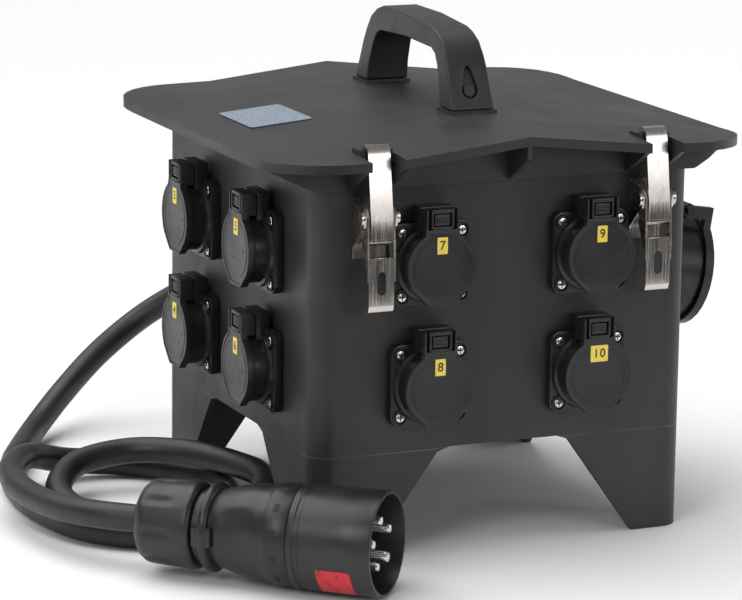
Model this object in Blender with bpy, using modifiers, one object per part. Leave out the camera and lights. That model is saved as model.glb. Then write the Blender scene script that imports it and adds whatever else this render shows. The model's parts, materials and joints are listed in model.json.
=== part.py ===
"""Portable power distribution box: a housing on four legs, a hinged roof-shaped lid with a carrying
handle and two toggle latches, ten earthed sockets with sprung caps, one round industrial socket, the
switchgear inside, and a mains lead with an industrial plug.

The latches face -Y, and +Z is up. Sizes are in millimetres around the housing's middle. The last step
scales every mesh to metres and moves everything along X, so that the object without its lead stands
centred on the origin.
"""
import math

import bmesh
import bpy
from mathutils import Matrix, Vector

METRE = 0.001
GAP = 0.3
WELD = 0.001

# Housing.
BODY_X = 246
BODY_Y = 250
BODY_CORNER = 14
WALL = 4
RIM_Z = 222.5
FLOOR_Z = (66, 69.5)
ARCH = ((88.7, -1), (43.5, 61.2), (35.5, 64))
RIM_LIP = 1.7
REBATE_Z = 219.2
POST = (104, 104)
COVER_Z = (203, 205.5)
RAIL_Z = 119

# Lid.
LID_SIZE = 309
LID_CORNER = 44
SKIRT_Z = 222.8
SKIRT_Y = 126
ROOF_THICKNESS = 5.5
RIDGE_Z = 255.5
ROOF_FALL = 0.09
END_EDGE = ((0, 253.5), (82, 244.3), (154.5, 243))
HIP_START_Y = 100
ROOF_CUTS = (0, 41, 82, 100, 120, 137)
FLARE_START_X = 123.5
FLARE_END = (152, 237.5)
FLARE_THICKNESS = 3
GUSSETS_X = (-102, -78, 0, 78, 102)
GUSSET_THICKNESS = 3
NOTCH_X = (79.5, 100.5)
NOTCH_Y = -136.5
LEDGE_Y = (-136.5, -122)
LEDGE_Z = 248

# Carrying handle: outer outline of one half, from the foot to the middle, as (y, z).
HANDLE_OUTER = ((-74, 256.6), (-69, 268), (-64, 281), (-60, 288), (-54, 295.5), (-46, 300), (-37, 302.5), (0, 305.5))
HANDLE_INNER = ((-55, 256.6), (-53, 268), (-48, 281), (-44, 287), (-38, 290), (0, 291.5))
HANDLE_REAR_RISE = 3
HANDLE_HALF_WIDTH = (14.2, 12)

# Latches.
LATCHES_X = {"left": -90, "right": 90}
LEVER_PIVOT = (-139, 209)
STRAP_PIVOT = (-139.5, 196)
SHEET = 1.2
STRAP_PATH = (
    (-144.6, 197), (-144.6, 208), (-139.2, 244), (-138.2, 248.6), (-136, 250.8), (-132.6, 250.9), (-128, 249.4),
)
LEVER_PATH = ((-141.2, 153.6), (-143.8, 154.6), (-145, 158), (-144.8, 186))

# Rear hinges of the lid.
HINGE = (141, 229)
HINGE_PIN_RADIUS = 2

# Earthed sockets.
SOCKET_OFFSET = 52
ROWS_Z = (177.7, 105)
FLANGE = 50
BARREL_RADIUS = 21.2
COLLAR_OUT = 16.5
RECESS_RADIUS = 19.6
CAP_RADIUS = 22
CAP_OUT = (16.8, 22)
CAP_PIVOT = (31, 16.5)

# Round industrial socket on the right wall.
CEE_Z = 143.7
CEE_TILT = math.radians(8.8)
CEE_COLLAR_RADIUS = 35
CEE_BORE_RADIUS = 32.3
CEE_LENGTH = 59
CEE_CAP = (38, 59.3, 65.2)
CEE_PIVOT = (39, 47)

# Mains lead: its route from the rear wall to the plug, and the plug's axis.
CORD_RADIUS = 8.25
CORD_ROUTE = (
    (-52, 153.8, 105), (-52, 190, 105), (-64, 222, 94), (-92, 245, 72), (-126, 245, 48), (-158, 229, 26),
    (-186, 202, 11), (-207, 166, 8.6), (-226, 127, 8.6), (-239, 87, 8.6), (-245, 46, 8.6), (-242, 4, 8.6),
    (-230, -34, 8.6), (-202, -59, 8.8), (-165, -66, 11.5), (-131, -53, 20), (-113, -22, 25.8), (-118, 16, 26),
    (-136, 51, 26), (-167, 75, 24), (-202, 71, 20), (-224, 43, 13), (-223, 5, 8.6), (-199, -29, 8.6),
    (-159, -35, 8.6), (-128, -5, 8.6), (-120, 33, 8.6), (-134, 76, 8.6), (-161, 103, 8.8), (-197, 107, 12.5),
    (-229, 85, 24), (-251, 53, 26.2), (-259, 17, 25.6), (-257, -17, 25.4), (-251, -49, 27.2), (-236.5, -78.8, 29.6),
    (-218, -97, 30),
)
CORD_SPACING = 19
PLUG_REAR = (-218, -97, 30)
PLUG_FRONT = (-109, -202, 32)
PLUG_KEY_ANGLE = -48

# Centre of the object without its lead, along X: between the left eave and the round socket's cap.
CAP_EDGE_X = BODY_X / 2 + CEE_CAP[2] * math.cos(CEE_TILT) + CEE_CAP[0] * math.sin(CEE_TILT)
MIDDLE_X = (CAP_EDGE_X - LID_SIZE / 2) / 2

MATERIALS = {
    "housing_plastic": ((0.036, 0.037, 0.042), 0.42, 0.0),
    "socket_plastic": ((0.02, 0.021, 0.024), 0.3, 0.0),
    "stainless": ((0.62, 0.62, 0.62), 0.28, 1.0),
    "screw_steel": ((0.6, 0.6, 0.6), 0.3, 1.0),
    "rubber": ((0.018, 0.018, 0.02), 0.6, 0.0),
    "contact_nickel": ((0.66, 0.64, 0.6), 0.25, 1.0),
    "label_film": ((0.3, 0.37, 0.47), 0.35, 0.0),
    "switchgear_grey": ((0.62, 0.63, 0.62), 0.45, 0.0),
    "switch_black": ((0.03, 0.03, 0.03), 0.4, 0.0),
    "switch_blue": ((0.05, 0.16, 0.4), 0.4, 0.0),
    "galvanized": ((0.5, 0.51, 0.52), 0.4, 1.0),
}


# Shape helpers ------------------------------------------------------------------------------------

def link(name, data):
    """New object for a mesh or a curve, in the parts collection."""
    made = bpy.data.objects.new(name, data)
    PARTS.objects.link(made)
    return made


def baked(source):
    """The evaluated shape of a curve or a modified mesh as one welded mesh object of the same name."""
    depsgraph = bpy.context.evaluated_depsgraph_get()
    mesh = bpy.data.meshes.new_from_object(source.evaluated_get(depsgraph))
    shape = bmesh.new()
    shape.from_mesh(mesh)
    bmesh.ops.remove_doubles(shape, verts=shape.verts, dist=WELD)
    bmesh.ops.dissolve_degenerate(shape, dist=WELD, edges=shape.edges)
    bmesh.ops.recalc_face_normals(shape, faces=shape.faces)
    shape.to_mesh(mesh)
    shape.free()
    name = source.name
    bpy.data.objects.remove(source)
    return link(name, mesh)


def combined(target, operation, *others):
    """Target after a Boolean with each of the others, which are used up."""
    for other in others:
        boolean = target.modifiers.new("boolean", "BOOLEAN")
        boolean.operation = operation
        boolean.object = other
    made = baked(target)
    for other in others:
        bpy.data.objects.remove(other)
    return made


def joined(target, *others):
    return combined(target, "UNION", *others)


def cut(target, *others):
    return combined(target, "DIFFERENCE", *others)


def from_bmesh(name, shape, place):
    bmesh.ops.transform(shape, matrix=place, verts=shape.verts)
    mesh = bpy.data.meshes.new(name)
    shape.to_mesh(mesh)
    shape.free()
    return link(name, mesh)


def box(name, low, high, place=Matrix()):
    shape = bmesh.new()
    bmesh.ops.create_cube(shape, size=1)
    centre = (Vector(low) + Vector(high)) / 2
    size = Vector(high) - Vector(low)
    bmesh.ops.transform(shape, matrix=Matrix.LocRotScale(centre, None, size), verts=shape.verts)
    return from_bmesh(name, shape, place)


def cylinder(name, start, end, radius, sides=24, place=Matrix()):
    direction = Vector(end) - Vector(start)
    middle = (Vector(end) + Vector(start)) / 2
    turn = direction.to_track_quat("Z", "Y").to_matrix().to_4x4()
    shape = bmesh.new()
    bmesh.ops.create_cone(
        shape, cap_ends=True, segments=sides, radius1=radius, radius2=radius, depth=direction.length,
    )
    return from_bmesh(name, shape, place @ Matrix.Translation(middle) @ turn)


def turned(name, profile, sides=24, place=Matrix()):
    """Solid of revolution about the place's Z axis, from (radius, height) points that start and end on it."""
    mesh = bpy.data.meshes.new(name)
    edges = [(index, index + 1) for index in range(len(profile) - 1)]
    mesh.from_pydata([(radius, 0, height) for radius, height in profile], edges, [])
    source = link(name, mesh)
    screw = source.modifiers.new("turn", "SCREW")
    screw.steps = sides
    screw.render_steps = sides
    screw.use_merge_vertices = True
    screw.merge_threshold = WELD
    made = baked(source)
    made.data.transform(place)
    return made


def plate(name, outline, low, high, place=Matrix()):
    """Flat outline, extruded from low to high along the place's Z axis."""
    curve = bpy.data.curves.new(name, "CURVE")
    curve.dimensions = "2D"
    curve.fill_mode = "BOTH"
    curve.extrude = (high - low) / 2
    spline = curve.splines.new("POLY")
    spline.points.add(len(outline) - 1)
    for point, (x, y) in zip(spline.points, outline):
        point.co = (x, y, 0, 1)
    spline.use_cyclic_u = True
    made = baked(link(name, curve))
    made.data.transform(place @ Matrix.Translation((0, 0, (low + high) / 2)))
    return made


def rounded(width, height, radius, steps=5, centre=(0, 0)):
    """Outline of a rectangle with round corners."""
    points = []
    for corner in range(4):
        x = (1, -1, -1, 1)[corner] * (width / 2 - radius) + centre[0]
        y = (1, 1, -1, -1)[corner] * (height / 2 - radius) + centre[1]
        for step in range(steps + 1):
            angle = math.radians(90 * (corner + step / steps))
            points.append((x + radius * math.cos(angle), y + radius * math.sin(angle)))
    return points


def thickened(path, thickness):
    """Outline of a bent strip of sheet metal, from its centre line."""
    sides = ([], [])
    for index, point in enumerate(path):
        before = Vector(path[max(index - 1, 0)])
        after = Vector(path[min(index + 1, len(path) - 1)])
        along = (after - before).normalized()
        across = Vector((-along.y, along.x)) * thickness / 2
        sides[0].append(tuple(Vector(point) + across))
        sides[1].append(tuple(Vector(point) - across))
    return sides[0] + sides[1][::-1]


def wall_place(side, across=0, up=0):
    """Frame on a wall's outer face: X across to the right as seen from outside, Y up, Z outwards."""
    across_axis, out_axis, distance = {
        "front": (Vector((1, 0, 0)), Vector((0, -1, 0)), BODY_Y / 2),
        "left": (Vector((0, -1, 0)), Vector((-1, 0, 0)), BODY_X / 2),
        "back": (Vector((-1, 0, 0)), Vector((0, 1, 0)), BODY_Y / 2),
        "right": (Vector((0, 1, 0)), Vector((1, 0, 0)), BODY_X / 2),
    }[side]
    turn = Matrix((across_axis, Vector((0, 0, 1)), out_axis)).transposed().to_4x4()
    origin = across_axis * across + out_axis * distance + Vector((0, 0, up))
    return Matrix.Translation(origin) @ turn


ALONG_X = Matrix(((0, 0, 1, 0), (1, 0, 0, 0), (0, 1, 0, 0), (0, 0, 0, 1)))
ALONG_Y = Matrix(((1, 0, 0, 0), (0, 0, -1, 0), (0, 1, 0, 0), (0, 0, 0, 1)))


def finish(made, material, origin=(0, 0, 0), smooth=30):
    """Scale a part to metres, put its origin on its joint's axis, and give it its material."""
    made.data.transform(Matrix.Translation(-Vector(origin)))
    made.data.transform(Matrix.Scale(METRE, 4))
    made.parent = MIDDLE
    made.location = Vector(origin) * METRE
    made.data.materials.clear()
    made.data.materials.append(bpy.data.materials[material])
    made.data.shade_smooth()
    made.data.set_sharp_from_angle(angle=math.radians(smooth))
    return made


# Housing ------------------------------------------------------------------------------------------

def sockets():
    """Number, wall, distance across and height of each earthed socket, counted around the box."""
    places = [("back", -SOCKET_OFFSET), ("left", -SOCKET_OFFSET), ("left", SOCKET_OFFSET)]
    places += [("front", -SOCKET_OFFSET), ("front", SOCKET_OFFSET)]
    number = 0
    for side, across in places:
        for up in ROWS_Z:
            number += 1
            yield number, side, across, up


def inset(amount):
    return rounded(BODY_X - 2 * amount, BODY_Y - 2 * amount, max(BODY_CORNER - amount, 3))


def make_housing():
    body = plate("housing", inset(0), 0, RIM_Z)
    body = cut(body, plate("cavity", inset(WALL), FLOOR_Z[1], RIM_Z + 1))
    body = cut(body, plate("rebate", inset(RIM_LIP), REBATE_Z, RIM_Z + 1))
    body = cut(body, plate("underside", inset(WALL), -1, FLOOR_Z[0]))
    arch = [(x, z) for x, z in ARCH] + [(-x, z) for x, z in reversed(ARCH)]
    body = cut(body, plate("arch_x", arch, -200, 200, ALONG_X), plate("arch_y", arch, -200, 200, ALONG_Y))
    for number, side, across, up in sockets():
        place = wall_place(side, across, up)
        body = cut(body, cylinder("hole", (0, 0, -10), (0, 0, 5), BARREL_RADIUS + GAP, place=place))
    place = wall_place("right", 0, CEE_Z)
    body = cut(body, cylinder("hole", (0, 0, -10), (0, 0, 5), 30 + GAP, place=place))
    place = wall_place("back", SOCKET_OFFSET, ROWS_Z[1])
    body = cut(body, cylinder("hole", (0, 0, -10), (0, 0, 5), 12 + GAP, place=place))
    for x in (-POST[0], POST[0]):
        for y in (-POST[1], POST[1]):
            low = (x - 5, y - 5, FLOOR_Z[1] - 1)
            body = joined(body, box("post", low, (x + 5, y + 5, COVER_Z[0] - GAP)))
    for x in (-78, 78):
        low = (x - 6, -10, FLOOR_Z[1] - 1)
        body = joined(body, box("pillar", low, (x + 6, 10, RAIL_Z - GAP)))
    finish(body, "housing_plastic")


def make_gasket():
    ring = plate("lid_gasket", inset(RIM_LIP + GAP), REBATE_Z + GAP, RIM_Z)
    ring = cut(ring, plate("inside", inset(WALL + 0.2), REBATE_Z - 1, RIM_Z + 1))
    finish(ring, "rubber")


# Lid ----------------------------------------------------------------------------------------------

def between(points, position):
    """Value at a position on a line of (position, value) points."""
    for (start, low), (end, high) in zip(points, points[1:]):
        if position <= end:
            return low + (high - low) * (position - start) / (end - start)
    return points[-1][1]


def roof_z(x, y):
    """Height of the roof: a gable along Y that turns into the end edges' outline at the front and back."""
    middle = RIDGE_Z - ROOF_FALL * abs(x)
    end = between(END_EDGE, abs(x))
    share = max(0.0, (abs(y) - HIP_START_Y) / (LID_SIZE / 2 - HIP_START_Y))
    return middle + (end - middle) * share


def flare_z(x):
    """Height of the side flares' outer face."""
    slope = (FLARE_END[1] - SKIRT_Z) / (FLARE_END[0] - FLARE_START_X)
    return SKIRT_Z + max(0.0, abs(x) - FLARE_START_X) * slope


def gusset_z(y):
    slope = (238.5 - SKIRT_Z) / (152 - SKIRT_Y)
    return SKIRT_Z + 0.4 + max(0.0, abs(y) - SKIRT_Y) * slope


def roof_block(name, outline, bottom, top):
    """Prism under an outline whose lower and upper faces follow two height functions."""
    block = plate(name, outline, 0, 1)
    shape = bmesh.new()
    shape.from_mesh(block.data)
    for cut_at in ROOF_CUTS:
        for sign in (-1, 1):
            for axis in (Vector((1, 0, 0)), Vector((0, 1, 0))):
                geometry = shape.verts[:] + shape.edges[:] + shape.faces[:]
                bmesh.ops.bisect_plane(shape, geom=geometry, plane_co=axis * cut_at * sign, plane_no=axis)
    for sign in (-1, 1):
        plane = Vector((FLARE_START_X * sign, 0, 0))
        geometry = shape.verts[:] + shape.edges[:] + shape.faces[:]
        bmesh.ops.bisect_plane(shape, geom=geometry, plane_co=plane, plane_no=(1, 0, 0))
    for vertex in shape.verts:
        height = top if vertex.co.z > 0.5 else bottom
        vertex.co.z = height(vertex.co.x, vertex.co.y)
    bmesh.ops.triangulate(shape, faces=shape.faces)
    shape.to_mesh(block.data)
    shape.free()
    return block


def make_lid():
    outline = rounded(LID_SIZE, LID_SIZE, LID_CORNER, 7)
    under_roof = lambda x, y: roof_z(x, y) - ROOF_THICKNESS
    lid = roof_block("lid", outline, under_roof, roof_z)
    skirt_outline = rounded(2 * FLARE_END[0], 2 * SKIRT_Y, 26)
    inside_roof = lambda x, y: roof_z(x, y) - ROOF_THICKNESS / 2
    lid = joined(lid, roof_block("skirt", skirt_outline, lambda x, y: flare_z(x), inside_roof))
    for x in GUSSETS_X:
        for sign in (-1, 1):
            outline = rounded(GUSSET_THICKNESS, 28.5, 0.5, 1, (x, sign * (SKIRT_Y + 12.75)))
            lid = joined(lid, roof_block("gusset", outline, lambda x, y: gusset_z(y), inside_roof))
    for sign in (-1, 1):
        middle = sign * (NOTCH_X[0] + NOTCH_X[1]) / 2
        outline = rounded(NOTCH_X[1] - NOTCH_X[0], LEDGE_Y[1] - LEDGE_Y[0], 2, 2, (middle, sum(LEDGE_Y) / 2))
        lid = joined(lid, roof_block("ledge", outline, under_roof, lambda x, y: LEDGE_Z))
    for y in (-64.5, 64.5):
        lid = joined(lid, box("handle_pad", (-15, y - 11, 250), (15, y + 11, 256.3)))
    for x in GUSSETS_X:
        if x:
            low = (x - GUSSET_THICKNESS / 2, HINGE[0], HINGE[1])
            high = (x + GUSSET_THICKNESS / 2, HINGE[0], HINGE[1])
            lid = joined(lid, cylinder("lug", low, high, 6, 16))
    cavity_outline = rounded(2 * FLARE_END[0] - 8, 2 * SKIRT_Y - 6, 23)
    cavity = roof_block("cavity", cavity_outline, lambda x, y: flare_z(x) + FLARE_THICKNESS, under_roof)
    mouth = plate("mouth", inset(WALL), SKIRT_Z - 5, SKIRT_Z + FLARE_THICKNESS + 4)
    lid = cut(lid, cavity, mouth)
    for sign in (-1, 1):
        low = (min(sign * NOTCH_X[0], sign * NOTCH_X[1]), -160, 225)
        high = (max(sign * NOTCH_X[0], sign * NOTCH_X[1]), NOTCH_Y, 260)
        lid = cut(lid, box("notch", low, high))
        start = (sign * 70, HINGE[0], HINGE[1])
        lid = cut(lid, cylinder("bore", start, (sign * 110, HINGE[0], HINGE[1]), HINGE_PIN_RADIUS + GAP, 12))
    finish(lid, "housing_plastic", (0, HINGE[0], HINGE[1]), 25)


def mirrored_outline(half):
    return list(half) + [(-y, z) for y, z in reversed(half[:-1])]


def handle_face(sign):
    """Frame on a handle leg's sloping outer face: X across, Y up the slope, Z outwards."""
    across = Vector((-sign, 0, 0))
    up = (Vector((0, sign * 64, 281)) - Vector((0, sign * 69, 268))).normalized()
    turn = Matrix((across, up, across.cross(up))).transposed().to_4x4()
    return Matrix.Translation((0, sign * 69, 268)) @ turn


def teardrop():
    """Outline of the pocket around a handle screw: round below, pointed above."""
    arc = [(5.2 * math.cos(math.radians(a)), 5.2 * math.sin(math.radians(a))) for a in range(-190, 11, 20)]
    return arc + [(2, 13), (0, 15.5), (-2, 13)]


def make_handle():
    rear = [(y, z + HANDLE_REAR_RISE * max(0, (z - 281)) / 20) for y, z in HANDLE_OUTER[:-1]]
    outer = list(HANDLE_OUTER) + [(-y, z) for y, z in reversed(rear)]
    inner = mirrored_outline(HANDLE_INNER)
    outline = outer + inner[::-1]
    handle = plate("handle", outline, -HANDLE_HALF_WIDTH[0], HANDLE_HALF_WIDTH[0], ALONG_X)
    for sign in (-1, 1):
        place = Matrix.Translation((sign * HANDLE_HALF_WIDTH[0], 0, 256)) @ Matrix.Rotation(
            math.radians(-sign * 2.5), 4, "Y",
        )
        low, high = ((0, -90, -10), (20, 90, 60)) if sign > 0 else ((-20, -90, -10), (0, 90, 60))
        handle = cut(handle, box("draft", low, high, place))
        handle = cut(handle, plate("screw_pocket", teardrop(), -3.5, 4, handle_face(sign)))
    finish(handle, "housing_plastic", (0, HINGE[0], HINGE[1]))
    for name, sign in (("front", -1), ("back", 1)):
        head = cylinder(f"handle_screw_{name}", (0, 0, -3.2), (0, 0, -1.2), 3.8, 12, handle_face(sign))
        finish(head, "screw_steel", (0, HINGE[0], HINGE[1]))


def make_rating_label():
    slope = math.atan(ROOF_FALL)
    place = Matrix.Translation((-104, 2.5, roof_z(-104, 0) + GAP)) @ Matrix.Rotation(-slope, 4, "Y")
    label = plate("rating_label", rounded(40, 55, 2, 2), 0, 0.5, place)
    finish(label, "label_film", (0, HINGE[0], HINGE[1]))


def make_hinges():
    for name, sign in (("left", -1), ("right", 1)):
        low, high = sorted((sign * 80.2, sign * 99.8))
        bracket = plate("bracket", ((125.3, 200), (127, 200), (127, 209), (144, 225), (137, 231), (127, 220.5),
                                    (125.3, 220.5)), low, high, ALONG_X)
        eye = cylinder("eye", (low, *HINGE), (high, *HINGE), 5, 16)
        bracket = joined(bracket, eye)
        bracket = cut(bracket, cylinder("bore", (low - 1, *HINGE), (high + 1, *HINGE), HINGE_PIN_RADIUS + 0.1, 12))
        bracket.name = f"hinge_bracket_{name}"
        finish(bracket, "stainless")
        low, high = sorted((sign * 75.5, sign * 104.5))
        pin = cylinder(f"hinge_pin_{name}", (low, *HINGE), (high, *HINGE), HINGE_PIN_RADIUS, 12)
        finish(pin, "screw_steel", (0, HINGE[0], HINGE[1]))


# Latches ------------------------------------------------------------------------------------------

def both_sides(name, outline, near, far, centre_x):
    """The same side plate twice, left and right of a middle plane."""
    left = plate(name, outline, centre_x - far, centre_x - near, ALONG_X)
    right = plate(name, outline, centre_x + near, centre_x + far, ALONG_X)
    return left, right


def make_latch(name, x):
    front = -BODY_Y / 2 - GAP
    base = box(f"latch_base_{name}", (x - 10.4, front - 1.5, 183), (x + 10.4, front, 219))
    ear = ((front, 188), (-137, 200), (-143, 204), (-144, 211), (-141, 214.5), (front, 218))
    base = joined(base, *both_sides("ear", ear, 9.2, 10.4, x))
    base = joined(base, cylinder("pivot", (x - 11, *LEVER_PIVOT), (x + 11, *LEVER_PIVOT), 2, 12))
    for sign in (-1, 1):
        start = (x + sign * 10.2, *LEVER_PIVOT)
        base = joined(base, cylinder("head", start, (x + sign * 12, *LEVER_PIVOT), 5, 16))
    finish(base, "stainless")

    lever = plate(f"latch_lever_{name}", thickened(LEVER_PATH, SHEET), x - 8.8, x + 8.8, ALONG_X)
    side = ((-144.6, 180), (-145.2, 186), (-144, 210), (-141, 215), (-137.5, 214), (-135.8, 209), (-136.4, 193),
            (-142, 180))
    lever = joined(lever, *both_sides("side", side, 7.6, 8.8, x))
    lever = joined(lever, cylinder("strap_pin", (x - 8.9, *STRAP_PIVOT), (x + 8.9, *STRAP_PIVOT), 1.6, 10))
    bore = cylinder("bore", (x - 10, *LEVER_PIVOT), (x + 10, *LEVER_PIVOT), 2 + GAP, 12)
    slot = plate("slot", rounded(5.4, 14, 2.6, 3, (x, 171)), 143, 148, ALONG_Y)
    lever = cut(lever, bore, slot)
    for sign in (-1, 1):
        low, high = sorted((x + sign * 7.9, x + sign * 12))
        lever = cut(lever, box("waist", (low, -150, 150), (high, -140, 172)))
    finish(lever, "stainless", (x, *LEVER_PIVOT))

    strap = plate(f"latch_strap_{name}", thickened(STRAP_PATH, SHEET), x - 7, x + 7, ALONG_X)
    strap = joined(strap, cylinder("eye", (x - 7, *STRAP_PIVOT), (x + 7, *STRAP_PIVOT), 3.3, 14))
    tie = box("tie", (x - 7, -145.1, 195.6), (x + 7, -140.5, 198))
    strap = joined(strap, tie)
    strap = cut(strap, cylinder("bore", (x - 8, *STRAP_PIVOT), (x + 8, *STRAP_PIVOT), 1.6 + GAP, 12))
    finish(strap, "stainless", (x, *STRAP_PIVOT))


# Sockets ------------------------------------------------------------------------------------------

def make_socket(number, side, across, up):
    place = wall_place(side, across, up)
    body = plate(f"socket_{number}", rounded(FLANGE, FLANGE, 6, 3), GAP, 7, place)
    body = joined(body, cylinder("barrel", (0, 0, -28), (0, 0, COLLAR_OUT), BARREL_RADIUS, place=place))
    for x in (-11.3, 11.3):
        low, high = (x - 2.7, 17, 4), (x + 2.7, 30, 16)
        eye = cylinder("eye", (x - 2.7, *CAP_PIVOT), (x + 2.7, *CAP_PIVOT), 4, 12, place)
        body = joined(body, box("ear", low, high, place), eye)
    body = joined(body, cylinder("pin", (-9, *CAP_PIVOT), (9, *CAP_PIVOT), 1.5, 8, place))
    body = cut(body, cylinder("recess", (0, 0, -1), (0, 0, 20), RECESS_RADIUS, place=place))
    for x in (-9.5, 9.5):
        body = cut(body, cylinder("contact_hole", (x, 0, -20), (x, 0, 0), 2.7, 10, place))
    for sign in (-1, 1):
        low, high = sorted((sign * 16.6, sign * 20.2))
        body = joined(body, box("earth_clip", (-2.5, low, -1.5), (2.5, high, 12), place))
        body = joined(body, box("guide", (low, -2.5, -1.5), (high, 2.5, 13), place))
        for other in (-1, 1):
            start = Vector((sign * 19, other * 19, 6))
            body = joined(body, cylinder("screw", start, start + Vector((0, 0, 1.6)), 3.1, 10, place))
    finish(body, "socket_plastic")

    profile = ((0, CAP_OUT[0]), (CAP_RADIUS, CAP_OUT[0]), (CAP_RADIUS, 20.8), (20.8, CAP_OUT[1]), (0, CAP_OUT[1]))
    cap = turned(f"socket_cap_{number}", profile, 24, place)
    neck = box("neck", (-8.2, 14, 17.4), (8.2, 31, 20.3), place)
    knuckle = cylinder("knuckle", (-8.2, *CAP_PIVOT), (8.2, *CAP_PIVOT), 3.8, 12, place)
    cap = joined(cap, neck, knuckle)
    cap = joined(cap, box("finger_lip", (-6, -24, 18.4), (6, -20, 21.4), place))
    cap = cut(cap, cylinder("bore", (-9, *CAP_PIVOT), (9, *CAP_PIVOT), 1.5 + GAP, 10, place))
    finish(cap, "socket_plastic", place @ Vector((0, *CAP_PIVOT)))


def cee_place():
    tilt = Matrix.Rotation(CEE_TILT, 4, "X")
    return wall_place("right", 0, CEE_Z) @ tilt


def make_cee_socket():
    wall = wall_place("right", 0, CEE_Z)
    place = cee_place()
    body = cylinder("cee_socket", (0, 0, -14), (0, 0, CEE_LENGTH), CEE_COLLAR_RADIUS, 32, place)
    body = cut(body, box("wall_side", (-60, -60, -60), (60, 60, 2), wall))
    body = joined(body, plate("flange", rounded(80, 84, 10, 3, (0, -1.7)), GAP, 6.3, wall))
    body = joined(body, cylinder("barrel", (0, 0, -15), (0, 0, 5), 30, 32, wall))
    for x in (-17.1, 16.9):
        low, high = (x - 3, 27, 41), (x + 3, CEE_PIVOT[0], 51.2)
        eye = cylinder("eye", (x - 3, *CEE_PIVOT), (x + 3, *CEE_PIVOT), 4.5, 14, place)
        body = joined(body, box("lug", low, high, place), eye)
    body = joined(body, cylinder("pin", (-28, *CEE_PIVOT), (28, *CEE_PIVOT), 2, 12, place))
    for sign in (-1, 1):
        for other in (-1, 1):
            start = Vector((sign * 34, other * 36 - 1.7, 5.5))
            body = joined(body, cylinder("screw", start, start + Vector((0, 0, 2)), 3.4, 10, wall))
        start = (sign * 27.6, *CEE_PIVOT)
        body = joined(body, cylinder("head", start, (sign * 30, *CEE_PIVOT), 3.2, 12, place))
    body = cut(body, cylinder("bore", (0, 0, 16), (0, 0, 80), CEE_BORE_RADIUS, 32, place))
    finish(body, "socket_plastic")

    carrier = cylinder("cee_contacts", (0, 0, 16.3), (0, 0, 50), 26, 28, place)
    for index in range(5):
        angle = math.radians(-90 + 72 * index)
        start = Vector((15 * math.cos(angle), 15 * math.sin(angle), 25))
        radius = 3.6 if index == 0 else 3
        hole = cylinder("hole", start, start + Vector((0, 0, 40)), radius, 10, place)
        carrier = cut(carrier, hole)
    finish(carrier, "socket_plastic")

    radius, near, far = CEE_CAP
    profile = ((0, near), (radius, near), (radius, far), (0, far))
    cap = turned("cee_cap", profile, 32, place)
    for x in (-23.5, 23.5):
        low, high = (x - 2.5, 34, 46), (x + 2.5, 43, 62)
        eye = cylinder("eye", (x - 2.5, *CEE_PIVOT), (x + 2.5, *CEE_PIVOT), 4.5, 14, place)
        arm = box("arm", low, (x + 2.5, CEE_PIVOT[0] + 3, 62), place)
        root = box("root", (x - 2.5, 22, near + 0.2), (x + 2.5, CEE_PIVOT[0] + 3, far - 0.6), place)
        cap = joined(cap, arm, eye, root)
    cap = cut(cap, cylinder("bore", (-40, *CEE_PIVOT), (40, *CEE_PIVOT), 2 + GAP, 12, place))
    finish(cap, "socket_plastic", place @ Vector((0, *CEE_PIVOT)))


# Mains lead ---------------------------------------------------------------------------------------

def make_gland():
    place = wall_place("back", SOCKET_OFFSET, ROWS_Z[1])
    profile = ((0, -10), (12, -10), (12, GAP), (16, GAP), (16, 8), (14.5, 9), (14.5, 22), (12, 27), (10, 28), (0, 28))
    finish(turned("cord_gland", profile, 12, place), "housing_plastic")


def smooth_points(points, spacing):
    """Evenly spaced points on a smooth curve through the given ones (centripetal Catmull-Rom)."""
    route = [Vector(point) for point in points]
    route = [route[0] * 2 - route[1]] + route + [route[-1] * 2 - route[-2]]
    dense = []
    for p0, p1, p2, p3 in zip(route, route[1:], route[2:], route[3:]):
        t1 = (p1 - p0).length ** 0.5
        t2 = t1 + (p2 - p1).length ** 0.5
        t3 = t2 + (p3 - p2).length ** 0.5
        for step in range(24):
            t = t1 + (t2 - t1) * step / 24
            a1 = p0.lerp(p1, t / t1)
            a2 = p1.lerp(p2, (t - t1) / (t2 - t1))
            a3 = p2.lerp(p3, (t - t2) / (t3 - t2))
            b1 = a1.lerp(a2, t / t2)
            b2 = a2.lerp(a3, (t - t1) / (t3 - t1))
            dense.append(b1.lerp(b2, (t - t1) / (t2 - t1)))
    dense.append(route[-2])
    lengths = [0.0]
    for start, end in zip(dense, dense[1:]):
        lengths.append(lengths[-1] + (end - start).length)
    count = round(lengths[-1] / spacing)
    even = []
    index = 0
    for step in range(count + 1):
        target = lengths[-1] * step / count
        while index < len(dense) - 2 and lengths[index + 1] < target:
            index += 1
        share = (target - lengths[index]) / (lengths[index + 1] - lengths[index])
        even.append(dense[index].lerp(dense[index + 1], share))
    return even


def make_cord():
    points = smooth_points(CORD_ROUTE, CORD_SPACING)
    points[-1] = points[-1] + (points[-2] - points[-1]).normalized() * 3 * GAP
    curve = bpy.data.curves.new("mains_cord", "CURVE")
    curve.dimensions = "3D"
    curve.bevel_depth = CORD_RADIUS
    curve.bevel_resolution = 3
    curve.use_fill_caps = True
    spline = curve.splines.new("POLY")
    spline.points.add(len(points) - 1)
    for point, place in zip(spline.points, points):
        point.co = (*place, 1)
    finish(baked(link("mains_cord", curve)), "rubber", smooth=60)


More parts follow.
